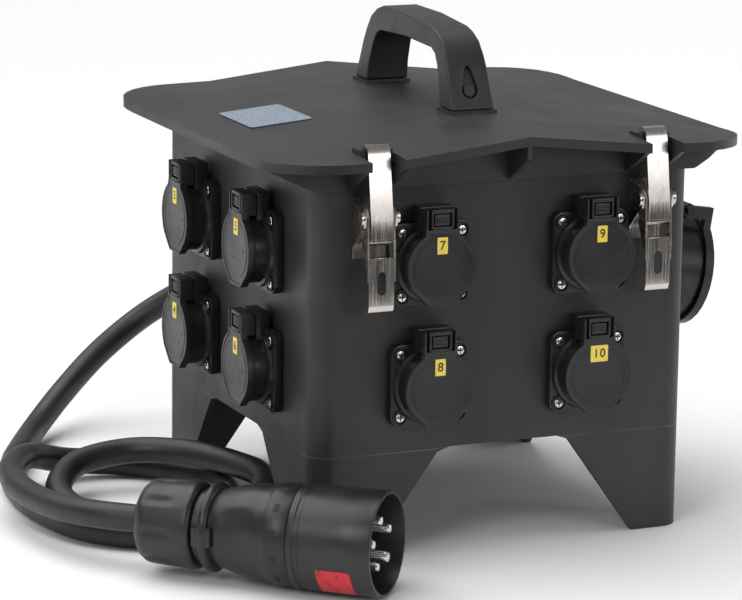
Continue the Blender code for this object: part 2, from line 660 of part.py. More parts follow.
def make_plug():
    start = Vector(PLUG_REAR)
    direction = Vector(PLUG_FRONT) - start
    length = direction.length
    turn = direction.to_track_quat("Z", "Y").to_matrix().to_4x4()
    place = Matrix.Translation(start) @ turn
    nut = ((0, 0), (16, 0), (22, 3), (25, 8), (26, 14), (26, 34), (24.5, 38), (0, 38))
    finish(turned("plug_nut", nut, 24, place), "socket_plastic")
    body = ((0, 38.3), (22, 38.3), (22, 43), (26.5, 44), (26.5, 49), (23.5, 51), (23.5, 58), (27, 66), (28.5, 82),
            (30, 88), (30, 100), (0, 100))
    finish(turned("plug_body", body, 24, place), "socket_plastic")
    shroud = ((0, 100.3), (30.8, 100.3), (30.8, length), (28.6, length), (28.6, 112), (0, 112))
    key_place = place @ Matrix.Rotation(math.radians(PLUG_KEY_ANGLE), 4, "Z")
    key = box("key", (29.6, -3, length - 30), (32.8, 3, length - 0.2), key_place)
    finish(joined(turned("plug_shroud", shroud, 28, place), key), "socket_plastic")
    insert = cylinder("plug_pins", (0, 0, 112.3), (0, 0, 116), 28.2, 28, place)
    for index in range(5):
        angle = math.radians(PLUG_KEY_ANGLE + 72 * index)
        foot = Vector((14 * math.cos(angle), 14 * math.sin(angle), 115))
        radius = 3.6 if index == 0 else 2.9
        insert = joined(insert, cylinder("pin", foot, foot + Vector((0, 0, 34)), radius, 12, place))
    finish(insert, "contact_nickel")


# Switchgear ---------------------------------------------------------------------------------------

def make_rail():
    outline = ((-12.5, 0), (12.5, 0), (12.5, 6.5), (17.5, 6.5), (17.5, 7.5), (11.5, 7.5), (11.5, 1), (-11.5, 1),
               (-11.5, 7.5), (-17.5, 7.5), (-17.5, 6.5), (-12.5, 6.5))
    rail = plate("din_rail", outline, -92, 92, Matrix.Translation((0, 0, RAIL_Z)) @ ALONG_X)
    finish(rail, "galvanized")


def make_breaker(name, low_x, high_x, toggle_half):
    """Breaker on the rail, with its toggle in a slot in its front, which faces up."""
    middle = (low_x + high_x) / 2
    body = box(f"{name}_body", (low_x, -42.5, RAIL_Z + 7.8), (high_x, 42.5, 187))
    body = joined(body, box("nose", (low_x, -22, 180), (high_x, 22, 209)))
    slot_low = (middle - toggle_half - 0.5, -9, 196)
    body = cut(body, box("slot", slot_low, (middle + toggle_half + 0.5, 9, 215)))
    toggle = cylinder(f"{name}_toggle", (middle - toggle_half, 0, 203), (middle + toggle_half, 0, 203), 5, 14)
    lean = Matrix.Translation((middle, 0, 203)) @ Matrix.Rotation(math.radians(-22), 4, "X")
    toggle = joined(toggle, box("lever", (-toggle_half, -2, 0), (toggle_half, 2, 13), lean))
    return body, toggle, (middle, 0, 203)


def make_switchgear():
    make_rail()
    body, toggle, pivot = make_breaker("rcd", -90, -18.3, 11)
    body = cut(body, cylinder("button_hole", (-32, 14, 200), (-32, 14, 212), 4, 12))
    finish(body, "switchgear_grey")
    finish(toggle, "switch_blue", pivot)
    button = cylinder("rcd_test_button", (-32, 14, 203), (-32, 14, 211), 3.6, 12)
    finish(button, "switch_blue", (-32, 14, 203))
    for index in range(3):
        low = -18 + 36 * index
        body, toggle, pivot = make_breaker(f"mcb_{index + 1}", low, low + 35.7, 8)
        finish(body, "switchgear_grey")
        finish(toggle, "switch_black", pivot)
    block = box("terminal_block", (-60, -88, FLOOR_Z[1] + GAP), (60, -66, 96))
    for index in range(6):
        x = -50 + 20 * index
        block = cut(block, box("entry", (x - 6, -95, 76), (x + 6, -72, 88)))
    finish(block, "switchgear_grey")
    cover = plate("inner_cover", rounded(234, 238, 9, 3), COVER_Z[0], COVER_Z[1])
    cover = cut(cover, box("window", (-91.5, -24, 200), (91.5, 24, 210)))
    finish(cover, "switchgear_grey")


# Everything ---------------------------------------------------------------------------------------

def clear_scene():
    for old in list(bpy.data.objects):
        bpy.data.objects.remove(old)
    for old in list(bpy.data.collections):
        bpy.data.collections.remove(old)


def make_materials():
    for name, (color, roughness, metallic) in MATERIALS.items():
        material = bpy.data.materials.new(name)
        material.use_nodes = True
        shader = material.node_tree.nodes["Principled BSDF"]
        shader.inputs["Base Color"].default_value = (*color, 1)
        shader.inputs["Roughness"].default_value = roughness
        shader.inputs["Metallic"].default_value = metallic


clear_scene()
PARTS = bpy.data.collections.new("power_distribution_box")
bpy.context.scene.collection.children.link(PARTS)
MIDDLE = link("middle", None)
MIDDLE.location = (-MIDDLE_X * METRE, 0, 0)
make_materials()
make_housing()
make_gasket()
make_lid()
make_handle()
make_rating_label()
make_hinges()
for latch_name, latch_x in LATCHES_X.items():
    make_latch(latch_name, latch_x)
for socket in sockets():
    make_socket(*socket)
make_cee_socket()
make_gland()
make_cord()
make_plug()
make_switchgear()
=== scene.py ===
"""Looks of the portable power distribution box: camera, lead, materials and fine shapes on the frame."""
import math

import bmesh
import bpy
from mathutils import Matrix, Vector
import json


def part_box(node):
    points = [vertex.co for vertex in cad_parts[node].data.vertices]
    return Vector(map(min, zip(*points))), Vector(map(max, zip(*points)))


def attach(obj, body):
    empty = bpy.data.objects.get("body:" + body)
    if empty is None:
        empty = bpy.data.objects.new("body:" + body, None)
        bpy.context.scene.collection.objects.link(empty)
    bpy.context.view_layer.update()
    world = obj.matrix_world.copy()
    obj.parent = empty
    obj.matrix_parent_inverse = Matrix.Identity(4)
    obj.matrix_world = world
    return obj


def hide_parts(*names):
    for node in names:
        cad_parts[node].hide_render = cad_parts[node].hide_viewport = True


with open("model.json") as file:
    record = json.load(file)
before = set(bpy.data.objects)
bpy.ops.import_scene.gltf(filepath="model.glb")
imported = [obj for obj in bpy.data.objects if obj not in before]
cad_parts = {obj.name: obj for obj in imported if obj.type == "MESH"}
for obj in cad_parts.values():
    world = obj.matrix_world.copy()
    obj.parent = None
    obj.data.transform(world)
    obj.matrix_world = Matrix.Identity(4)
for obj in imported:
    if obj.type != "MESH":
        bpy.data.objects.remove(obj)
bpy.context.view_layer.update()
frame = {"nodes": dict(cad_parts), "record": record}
NODES = frame["nodes"]
MM = 0.001

# The housing's middle, which every local size is counted from.
HOUSING_LOW, HOUSING_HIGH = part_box("housing")
MIDDLE_X = (HOUSING_LOW.x + HOUSING_HIGH.x) / 2
HALF_X = (HOUSING_HIGH.x - HOUSING_LOW.x) / 2 / MM
HALF_Y = (HOUSING_HIGH.y - HOUSING_LOW.y) / 2 / MM
TO_ROW = Matrix.Translation((MIDDLE_X, 0, 0)) @ Matrix.Scale(MM, 4)

# Sockets, as in the frame: number, wall, distance across and height of each centre, in millimetres.
SOCKET_OFFSET = 52
ROWS_Z = (177.7, 105)
SCREW_OFFSET = 19
CONTACT_OFFSET = 9.5
CAP_LABEL_UP = 13.3
CEE_Z = 143.7
CEE_TILT = math.radians(8.8)

# Lead and plug, as in the frame.
CORD_RADIUS = 8.25
CORD_ROUTE = (
    (-52, 153.8, 105), (-52, 190, 105), (-64, 222, 94), (-92, 245, 72), (-126, 245, 48), (-158, 229, 26),
    (-186, 202, 11), (-207, 166, 8.6), (-226, 127, 8.6), (-239, 87, 8.6), (-245, 46, 8.6), (-242, 4, 8.6),
    (-230, -34, 8.6), (-202, -59, 8.8), (-165, -66, 11.5), (-131, -53, 20), (-113, -22, 25.8), (-118, 16, 26),
    (-136, 51, 26), (-167, 75, 24), (-202, 71, 20), (-224, 43, 13), (-223, 5, 8.6), (-199, -29, 8.6),
    (-159, -35, 8.6), (-128, -5, 8.6), (-120, 33, 8.6), (-134, 76, 8.6), (-161, 103, 8.8), (-197, 107, 12.5),
    (-229, 85, 24), (-251, 53, 26.2), (-259, 17, 25.6), (-257, -17, 25.4), (-251, -49, 27.2),
    (-236.5, -78.8, 29.6), (-218, -97, 30),
)
PLUG_REAR = Vector((-218, -97, 30))
PLUG_FRONT = Vector((-109, -202, 32))
PLUG_END_GAP = 0.9
PLUG_KEY_ANGLE = -138
PIN_CIRCLE = 14
PLUG_LABEL_RADIUS = 31.05

# Height of the housing's parting line above the floor, in metres.
PARTING_LINE = 0.0632


# Camera and light ---------------------------------------------------------------------------------

def make_camera():
    yaw, pitch, roll = math.radians(23.57), math.radians(12.41), math.radians(0.76)
    forward = Vector((math.sin(yaw) * math.cos(pitch), math.cos(yaw) * math.cos(pitch), -math.sin(pitch)))
    right = Vector((math.cos(yaw), -math.sin(yaw), 0))
    up = right.cross(forward)
    across = right * math.cos(roll) + up * math.sin(roll)
    upward = up * math.cos(roll) - right * math.sin(roll)
    target = Vector((MIDDLE_X - 0.0332, 0, 0.1271))
    data = bpy.data.cameras.new("camera")
    data.sensor_width = 36
    data.lens = 175.8
    data.clip_start = 0.05
    data.clip_end = 50
    camera = bpy.data.objects.new("camera", data)
    bpy.context.scene.collection.objects.link(camera)
    turn = Matrix((across, upward, -forward)).transposed().to_4x4()
    camera.matrix_world = Matrix.Translation(target - forward * 2.256) @ turn
    bpy.context.scene.camera = camera
    bpy.context.scene.render.resolution_x = 742
    bpy.context.scene.render.resolution_y = 600
    bpy.context.scene.render.resolution_percentage = 100


def area_light(name, place, target, size, power, tint=(1, 1, 1)):
    data = bpy.data.lights.new(name, "AREA")
    data.shape = "RECTANGLE"
    data.size, data.size_y = size
    data.energy = power
    data.color = tint
    light = bpy.data.objects.new(name, data)
    bpy.context.scene.collection.objects.link(light)
    direction = Vector(target) - Vector(place)
    light.matrix_world = Matrix.Translation(place) @ direction.to_track_quat("-Z", "Y").to_matrix().to_4x4()


def make_world():
    """Bright above the horizon and dim below it, so that upright metal mirrors a dark studio floor."""
    world = bpy.data.worlds.new("studio")
    bpy.context.scene.world = world
    world.use_nodes = True
    tree = world.node_tree
    place = tree.nodes.new("ShaderNodeTexCoord").outputs["Generated"]
    split = tree.nodes.new("ShaderNodeSeparateXYZ")
    tree.links.new(place, split.inputs[0])
    ramp = tree.nodes.new("ShaderNodeValToRGB")
    ramp.color_ramp.elements[0].position = 0.45
    ramp.color_ramp.elements[0].color = (0.035, 0.035, 0.036, 1)
    ramp.color_ramp.elements[1].position = 0.53
    ramp.color_ramp.elements[1].color = (0.62, 0.62, 0.63, 1)
    high = ramp.color_ramp.elements.new(0.8)
    high.color = (0.3, 0.3, 0.31, 1)
    shift = tree.nodes.new("ShaderNodeMapRange")
    shift.inputs["From Min"].default_value = -1
    tree.links.new(split.outputs[2], shift.inputs["Value"])
    tree.links.new(shift.outputs[0], ramp.inputs[0])
    background = tree.nodes["Background"]
    tree.links.new(ramp.outputs[0], background.inputs["Color"])
    background.inputs["Strength"].default_value = 0.75


def make_stage():
    make_world()
    bpy.ops.mesh.primitive_plane_add(size=1, location=(0, 7.1, -0.0004))
    floor = bpy.context.object
    floor.name = "floor"
    floor.scale = (16, 15.4, 1)
    paint = bpy.data.materials.new("floor_paint")
    paint.use_nodes = True
    shader = paint.node_tree.nodes["Principled BSDF"]
    shader.inputs["Base Color"].default_value = (0.95, 0.95, 0.95, 1)
    shader.inputs["Roughness"].default_value = 0.9
    shader.inputs["Specular IOR Level"].default_value = 0.1
    floor.data.materials.append(paint)
    sun = bpy.data.lights.new("sky_panel", "SUN")
    sun.energy = 2.5
    sun.angle = math.radians(70)
    panel = bpy.data.objects.new("sky_panel", sun)
    panel.rotation_euler = (math.radians(-18), math.radians(-14), 0)
    bpy.context.scene.collection.objects.link(panel)
    area_light("key_left", (-1.9, -1.4, 1.5), (0, 0, 0.12), (1.0, 1.0), 16)
    area_light("strip_front", (0.9, -2.3, 0.75), (0, 0, 0.16), (1.3, 0.8), 9)
    area_light("right", (2.1, -0.5, 0.9), (0, 0, 0.15), (0.8, 1.4), 8)
    settings = bpy.context.scene.view_settings
    settings.view_transform = "Standard"
    settings.look = "None"
    settings.exposure = 0.0


# Materials ----------------------------------------------------------------------------------------

class Nodes:
    """Short names for building one material's node tree."""

    def __init__(self, name):
        self.material = bpy.data.materials.new(name)
        self.material.use_nodes = True
        self.tree = self.material.node_tree
        self.shader = self.tree.nodes["Principled BSDF"]
        self.place = self.tree.nodes.new("ShaderNodeTexCoord").outputs["Object"]

    def add(self, kind, **inputs):
        node = self.tree.nodes.new(kind)
        for key, value in inputs.items():
            socket = node.inputs[key.replace("_", " ")]
            if isinstance(value, bpy.types.NodeSocket):
                self.tree.links.new(value, socket)
            else:
                socket.default_value = value
        return node

    def noise(self, scale, detail=4.0, roughness=0.55, stretch=(1, 1, 1)):
        mapping = self.add("ShaderNodeMapping", Vector=self.place, Scale=stretch)
        noise = self.add("ShaderNodeTexNoise", Vector=mapping.outputs[0], Scale=scale, Detail=detail)
        noise.inputs["Roughness"].default_value = roughness
        return noise.outputs["Fac"]

    def range(self, value, low, high, to_low, to_high):
        node = self.add("ShaderNodeMapRange", Value=value)
        for key, number in (("From Min", low), ("From Max", high), ("To Min", to_low), ("To Max", to_high)):
            node.inputs[key].default_value = number
        return node.outputs[0]

    def math(self, operation, first, second=0.0):
        node = self.tree.nodes.new("ShaderNodeMath")
        node.operation = operation
        for socket, value in zip(node.inputs, (first, second)):
            if isinstance(value, bpy.types.NodeSocket):
                self.tree.links.new(value, socket)
            else:
                socket.default_value = value
        return node.outputs[0]

    def mix(self, share, first, second):
        node = self.tree.nodes.new("ShaderNodeMix")
        node.data_type = "RGBA"
        self.tree.links.new(share, node.inputs[0])
        for socket, value in ((node.inputs[6], first), (node.inputs[7], second)):
            if isinstance(value, bpy.types.NodeSocket):
                self.tree.links.new(value, socket)
            else:
                socket.default_value = (*value, 1)
        return node.outputs[2]

    def bump(self, height, strength, distance):
        node = self.add("ShaderNodeBump", Height=height, Strength=strength, Distance=distance)
        return node.outputs[0]

    def finish(self, color, roughness, normal, metallic=0.0):
        for key, value in (("Base Color", color), ("Roughness", roughness), ("Normal", normal)):
            self.tree.links.new(value, self.shader.inputs[key])
        self.shader.inputs["Metallic"].default_value = metallic
        return self.material


def moulded_plastic(name, dark, light, roughness, grain=0.25, streak=0.5, scale=1.0, line=None):
    """Satin black plastic: cloudy colour, flow streaks, rubbed patches, fine grain, maybe a painted highlight
    along a parting line.
    """
    nodes = Nodes(name)
    clouds = nodes.noise(9 * scale, 5)
    streaks = nodes.noise(34 * scale, 6, 0.6, (1, 1, 0.12))
    cloud_share = nodes.math("MULTIPLY", clouds, 1 - streak)
    streak_share = nodes.math("MULTIPLY", streaks, streak)
    share = nodes.math("ADD", cloud_share, streak_share)
    color = nodes.mix(nodes.range(share, 0.35, 0.68, 0, 1), dark, light)
    dust = nodes.range(nodes.noise(420 * scale, 3, 0.7), 0.66, 0.8, 0, 0.35)
    color = nodes.mix(dust, color, tuple(min(1, channel * 2.2) for channel in light))
    rubbed = nodes.range(nodes.noise(22 * scale, 6, 0.65), 0.35, 0.7, roughness - 0.07, roughness + 0.09)
    fine = nodes.noise(2600, 3, 0.6)
    wavy = nodes.noise(26, 2)
    height = nodes.math("ADD", nodes.math("MULTIPLY", fine, grain), nodes.math("MULTIPLY", wavy, 0.9))
    if line is not None:
        color = parting_line(nodes, color, line)
    return nodes.finish(color, rubbed, nodes.bump(height, 0.22, 0.0006))


def parting_line(nodes, color, line):
    """The faint, interrupted mould line that runs around the box above the legs, painted lighter as a
    highlight where its groove would catch the light.
    """
    height = nodes.add("ShaderNodeSeparateXYZ", Vector=nodes.place).outputs[2]
    distance = nodes.math("ABSOLUTE", nodes.math("SUBTRACT", height, line))
    # Painted highlight: a light grey band at the parting line's height
    groove_highlight = nodes.range(distance, 0.0, 0.0006, 1, 0)
    broken_highlight = nodes.math("MULTIPLY", groove_highlight, nodes.range(nodes.noise(40, 3), 0.4, 0.6, 0.15, 0.7))
    return nodes.mix(broken_highlight, color, (0.13, 0.13, 0.135))


def brushed_steel(name, tone, roughness, stretch=(1, 1, 0.04)):
    nodes = Nodes(name)
    brush = nodes.noise(900, 4, 0.6, stretch)
    blotch = nodes.noise(60, 4)
    color = nodes.mix(blotch, tuple(channel * 0.86 for channel in tone), tone)
    rough = nodes.range(brush, 0.3, 0.7, roughness - 0.06, roughness + 0.1)
    return nodes.finish(color, rough, nodes.bump(brush, 0.05, 0.0001), metallic=1.0)


def cable_rubber():
    """Rubber sheath: matt, with fine drawing lines, rubbed light patches and dust."""
    nodes = Nodes("cable_rubber")
    clouds = nodes.noise(30, 5)
    color = nodes.mix(nodes.range(clouds, 0.35, 0.7, 0, 1), (0.008, 0.008, 0.0085), (0.02, 0.02, 0.021))
    dust = nodes.range(nodes.noise(700, 2, 0.7), 0.68, 0.8, 0, 0.4)
    color = nodes.mix(dust, color, (0.1, 0.1, 0.1))
    rough = nodes.range(nodes.noise(90, 4), 0.3, 0.7, 0.36, 0.52)
    return nodes.finish(color, rough, nodes.bump(nodes.noise(900, 3), 0.15, 0.0004))


def printed_film(name, base, ink, rows, line_scale):
    """Printed label film: rows of small unreadable marks on a coloured ground."""
    nodes = Nodes(name)
    split = nodes.add("ShaderNodeSeparateXYZ", Vector=nodes.place)
    wave = nodes.math("SINE", nodes.math("MULTIPLY", split.outputs[1], rows))
    lines = nodes.range(wave, 0.35, 0.5, 0, 1)
    marks = nodes.range(nodes.noise(line_scale, 2, 0.5, (1, 0.15, 0.15)), 0.48, 0.55, 0, 0.75)
    color = nodes.mix(nodes.math("MULTIPLY", lines, marks), base, ink)
    rough = nodes.range(nodes.noise(120, 3), 0.3, 0.7, 0.28, 0.42)
    return nodes.finish(color, rough, nodes.bump(nodes.noise(300, 2), 0.05, 0.0002))


def speckled(name, base, other, roughness, metallic=0.0, scale=180):
    nodes = Nodes(name)
    color = nodes.mix(nodes.range(nodes.noise(scale, 4), 0.35, 0.65, 0, 1), base, other)
    rough = nodes.range(nodes.noise(scale / 2, 3), 0.3, 0.7, roughness - 0.06, roughness + 0.08)
    return nodes.finish(color, rough, nodes.bump(nodes.noise(1200, 2), 0.08, 0.0003), metallic=metallic)


MATERIALS = {
    "housing": moulded_plastic("housing_plastic", (0.014, 0.0145, 0.0145), (0.027, 0.028, 0.028), 0.47,
                               line=PARTING_LINE),
    "lid": moulded_plastic("lid_plastic", (0.015, 0.0155, 0.016), (0.03, 0.031, 0.032), 0.47, streak=0.2),
    "handle": moulded_plastic("handle_plastic", (0.018, 0.019, 0.019), (0.036, 0.037, 0.038), 0.42, 0.4, 0.2),
    "socket": moulded_plastic("socket_plastic", (0.007, 0.0072, 0.0075), (0.013, 0.0135, 0.014), 0.33,
                              0.18, 0.1, 2),
    "cap": moulded_plastic("cap_plastic", (0.008, 0.009, 0.0095), (0.016, 0.017, 0.018), 0.38, 0.2, 0.15, 2),
    "plug": moulded_plastic("plug_plastic", (0.009, 0.009, 0.0092), (0.018, 0.018, 0.019), 0.36, 0.3, 0.1, 2),
    "steel": brushed_steel("stainless_steel", (0.66, 0.62, 0.58), 0.2),
    "screw": brushed_steel("screw_steel", (0.75, 0.74, 0.72), 0.2, (1, 1, 1)),
    "rubber": cable_rubber(),
    "nickel": brushed_steel("pin_nickel", (0.8, 0.79, 0.76), 0.18, (1, 1, 1)),
    "film": printed_film("rating_film", (0.28, 0.35, 0.43), (0.08, 0.11, 0.17), 1500, 900),
    "red": printed_film("red_film", (0.58, 0.02, 0.03), (0.2, 0.01, 0.015), 900, 700),
    "yellow": speckled("yellow_film", (0.86, 0.66, 0.08), (0.92, 0.72, 0.12), 0.4),
    "ink": speckled("number_ink", (0.01, 0.01, 0.01), (0.025, 0.025, 0.02), 0.5),
    "grey": speckled("switchgear_grey", (0.5, 0.51, 0.5), (0.58, 0.59, 0.58), 0.45),
    "black": speckled("switch_black", (0.02, 0.02, 0.02), (0.04, 0.04, 0.04), 0.4),
    "blue": speckled("switch_blue", (0.03, 0.12, 0.32), (0.05, 0.16, 0.4), 0.4),
    "zinc": speckled("galvanized_zinc", (0.5, 0.51, 0.52), (0.62, 0.63, 0.64), 0.38, 1.0, 300),
    # Painted shade: near-black paint laid where contact holes, screw cross recesses and the plug's collar
    # slots would be
    "dark": speckled("painted_recess_shade", (0.004, 0.004, 0.004), (0.008, 0.008, 0.008), 0.6),
}


# Shapes -------------------------------------------------------------------------------------------

def wall_place(side, across=0, up=0):
    """Frame on a wall's outer face, in millimetres: X across, Y up, Z outwards."""
    across_axis, out_axis, distance = {
        "front": (Vector((1, 0, 0)), Vector((0, -1, 0)), HALF_Y),
        "left": (Vector((0, -1, 0)), Vector((-1, 0, 0)), HALF_X),
        "back": (Vector((-1, 0, 0)), Vector((0, 1, 0)), HALF_Y),
        "right": (Vector((0, 1, 0)), Vector((1, 0, 0)), HALF_X),
    }[side]
    turn = Matrix((across_axis, Vector((0, 0, 1)), out_axis)).transposed().to_4x4()
    return Matrix.Translation(across_axis * across + out_axis * distance + Vector((0, 0, up))) @ turn


def sockets():
    places = [("back", -SOCKET_OFFSET), ("left", -SOCKET_OFFSET), ("left", SOCKET_OFFSET)]
    places += [("front", -SOCKET_OFFSET), ("front", SOCKET_OFFSET)]
    number = 0
    for side, across in places:
        for up in ROWS_Z:
            number += 1
            yield number, side, across, up


def rounded(width, height, radius, steps=5, centre=(0, 0)):
    points = []
    for corner in range(4):
        x = (1, -1, -1, 1)[corner] * (width / 2 - radius) + centre[0]
        y = (1, 1, -1, -1)[corner] * (height / 2 - radius) + centre[1]
        for step in range(steps + 1):
            angle = math.radians(90 * (corner + step / steps))
            points.append((x + radius * math.cos(angle), y + radius * math.sin(angle)))
    return points


class Shape:
    """One mesh put together from bevelled plates, turned profiles and boxes, in millimetres."""

    def __init__(self, place=Matrix()):
        self.mesh = bmesh.new()
        self.place = place

    def take(self, part, place, bevel, segments=2, sharp=30):
        bmesh.ops.recalc_face_normals(part, faces=part.faces)
        if bevel:
            shared = [edge for edge in part.edges if len(edge.link_faces) == 2]
            edges = [edge for edge in shared if edge.calc_face_angle() > math.radians(sharp)]
            bmesh.ops.bevel(part, geom=edges, offset=bevel, segments=segments, affect="EDGES", profile=0.6,
                            clamp_overlap=True)
        bmesh.ops.transform(part, matrix=self.place @ place, verts=part.verts)
        holder = bpy.data.meshes.new("part")
        part.to_mesh(holder)
        part.free()
        self.mesh.from_mesh(holder)
        bpy.data.meshes.remove(holder)
        return self

    def plate(self, outline, low, high, bevel=0.4, rim=None, place=Matrix()):
        """Extruded outline; rim = (width, depth) sinks the upper face inside a raised rim."""
        part = bmesh.new()
        face = part.faces.new([part.verts.new((x, y, low)) for x, y in outline])
        raised = bmesh.ops.extrude_face_region(part, geom=[face])
        verts = [item for item in raised["geom"] if isinstance(item, bmesh.types.BMVert)]
        bmesh.ops.translate(part, vec=(0, 0, high - low), verts=verts)
        if rim:
            top = max(part.faces, key=lambda f: f.calc_center_median().z)
            bmesh.ops.inset_region(part, faces=[top], thickness=rim[0], depth=0)
            bmesh.ops.inset_region(part, faces=[top], thickness=0.5, depth=-rim[1])
        return self.take(part, place, bevel)

    def box(self, low, high, bevel=0.4, place=Matrix()):
        part = bmesh.new()
        bmesh.ops.create_cube(part, size=1)
        centre = (Vector(low) + Vector(high)) / 2
        size = Vector(high) - Vector(low)
        bmesh.ops.transform(part, matrix=Matrix.LocRotScale(centre, None, size), verts=part.verts)
        return self.take(part, place, bevel)

    def turned(self, profile, sides=48, bevel=0.0, place=Matrix(), wobble=None):
        """Turned surface; wobble(angle, height) shrinks the radius, for grips and flutes."""
        part = bmesh.new()
        rings = []
        for radius, height in profile:
            if radius < 1e-6:
                rings.append([part.verts.new((0, 0, height))])
                continue
            ring = []
            for step in range(sides):
                angle = 2 * math.pi * step / sides
                size = radius - (wobble(angle, height) if wobble else 0)
                ring.append(part.verts.new((size * math.cos(angle), size * math.sin(angle), height)))
            rings.append(ring)
        for lower, upper in zip(rings, rings[1:]):
            for step in range(sides):
                after = (step + 1) % sides
                if len(lower) == 1 and len(upper) > 1:
                    part.faces.new((lower[0], upper[step], upper[after]))
                elif len(upper) == 1 and len(lower) > 1:
                    part.faces.new((lower[step], lower[after], upper[0]))
                elif len(lower) > 1:
                    part.faces.new((lower[step], lower[after], upper[after], upper[step]))
        return self.take(part, place, bevel)

    def rod(self, start, end, radius, sides=24, bevel=0.3):
        direction = Vector(end) - Vector(start)
        turn = direction.to_track_quat("Z", "Y").to_matrix().to_4x4()
        profile = ((0, 0), (radius, 0), (radius, direction.length), (0, direction.length))
        return self.turned(profile, sides, bevel, Matrix.Translation(start) @ turn)

    def done(self, name, material, body, *replaced, smooth=35):
        bmesh.ops.transform(self.mesh, matrix=TO_ROW, verts=self.mesh.verts)
        mesh = bpy.data.meshes.new(name)
        self.mesh.to_mesh(mesh)
        self.mesh.free()
        mesh.shade_smooth()
        mesh.set_sharp_from_angle(angle=math.radians(smooth))
        mesh.materials.append(MATERIALS[material])
        made = bpy.data.objects.new(name, mesh)
        bpy.context.scene.collection.objects.link(made)
        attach(made, body)
        if replaced:
            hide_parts(*replaced)
        return made


def body_of(node):
    return next(body for body, members in frame["record"]["behaviour"]["bodies"].items() if node in members)


def refined(node, material, bevel, segments=2, angle=28):
    """The CAD node's own shape with merged faces and rounded edges, in place of the node."""
    mesh = NODES[node].data.copy()
    shape = bmesh.new()
    shape.from_mesh(mesh)
    bmesh.ops.remove_doubles(shape, verts=shape.verts, dist=0.000002)
    bmesh.ops.dissolve_limit(shape, angle_limit=math.radians(0.6), verts=shape.verts, edges=shape.edges)
    shape.to_mesh(mesh)
    shape.free()
    made = bpy.data.objects.new(f"{node}_shape", mesh)
    bpy.context.scene.collection.objects.link(made)
    mesh.materials.clear()
    mesh.materials.append(MATERIALS[material])
    rounding = made.modifiers.new("rounding", "BEVEL")
    rounding.width = bevel * MM
    rounding.segments = segments
    rounding.limit_method = "ANGLE"
    rounding.angle_limit = math.radians(angle)
    rounding.harden_normals = False
    rounding.use_clamp_overlap = True
    mesh.shade_smooth()
    mesh.set_sharp_from_angle(angle=math.radians(angle))
    weighted = made.modifiers.new("normals", "WEIGHTED_NORMAL")
    weighted.keep_sharp = False
    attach(made, body_of(node))
    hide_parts(node)
    return made


# Lead ---------------------------------------------------------------------------------------------

def smooth_points(points, per_span):
    """Points on a smooth curve through the given ones (centripetal Catmull-Rom)."""
    route = [Vector(point) for point in points]
    route = [route[0] * 2 - route[1]] + route + [route[-1] * 2 - route[-2]]
    dense = []
    for p0, p1, p2, p3 in zip(route, route[1:], route[2:], route[3:]):
        t1 = (p1 - p0).length ** 0.5
        t2 = t1 + (p2 - p1).length ** 0.5
        t3 = t2 + (p3 - p2).length ** 0.5
        for step in range(per_span):
            t = t1 + (t2 - t1) * step / per_span
            a1 = p0.lerp(p1, t / t1)
            a2 = p1.lerp(p2, (t - t1) / (t2 - t1))
            a3 = p2.lerp(p3, (t - t2) / (t3 - t2))
            b1 = a1.lerp(a2, t / t2)
            b2 = a2.lerp(a3, (t - t1) / (t3 - t1))
            dense.append(b1.lerp(b2, (t - t1) / (t2 - t1)))
    dense.append(route[-2])
    return dense


def make_cord():
    points = smooth_points(CORD_ROUTE, 10)
    points[-1] = points[-1] + (points[-2] - points[-1]).normalized() * PLUG_END_GAP
    curve = bpy.data.curves.new("mains_lead", "CURVE")
    curve.dimensions = "3D"
    curve.bevel_depth = CORD_RADIUS * MM
    curve.bevel_resolution = 8
    curve.use_fill_caps = True
    spline = curve.splines.new("POLY")
    spline.points.add(len(points) - 1)
    for point, place in zip(spline.points, points):
        point.co = (*(TO_ROW @ place), 1)
    spline.use_smooth = True
    curve.materials.append(MATERIALS["rubber"])
    lead = bpy.data.objects.new("mains_lead", curve)
    bpy.context.scene.collection.objects.link(lead)
    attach(lead, "housing")
    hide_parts("mains_cord")
    length = sum((after - before).length for before, after in zip(points, points[1:])) * MM
    return lead, round(length, 3)


# Sockets ------------------------------------------------------------------------------------------

def cross_screw(shape, x, y, low, radius):
    """Pan-head screw with a plain top; its cross recess is not cut, only painted as shade on the head in
    make_socket.
    """
    profile = ((0, low), (radius, low), (radius, low + 0.5), (radius * 0.8, low + 1.25),
               (radius * 0.35, low + 1.6), (0, low + 1.6))
    shape.turned(profile, 20, place=Matrix.Translation((x, y, 0)))


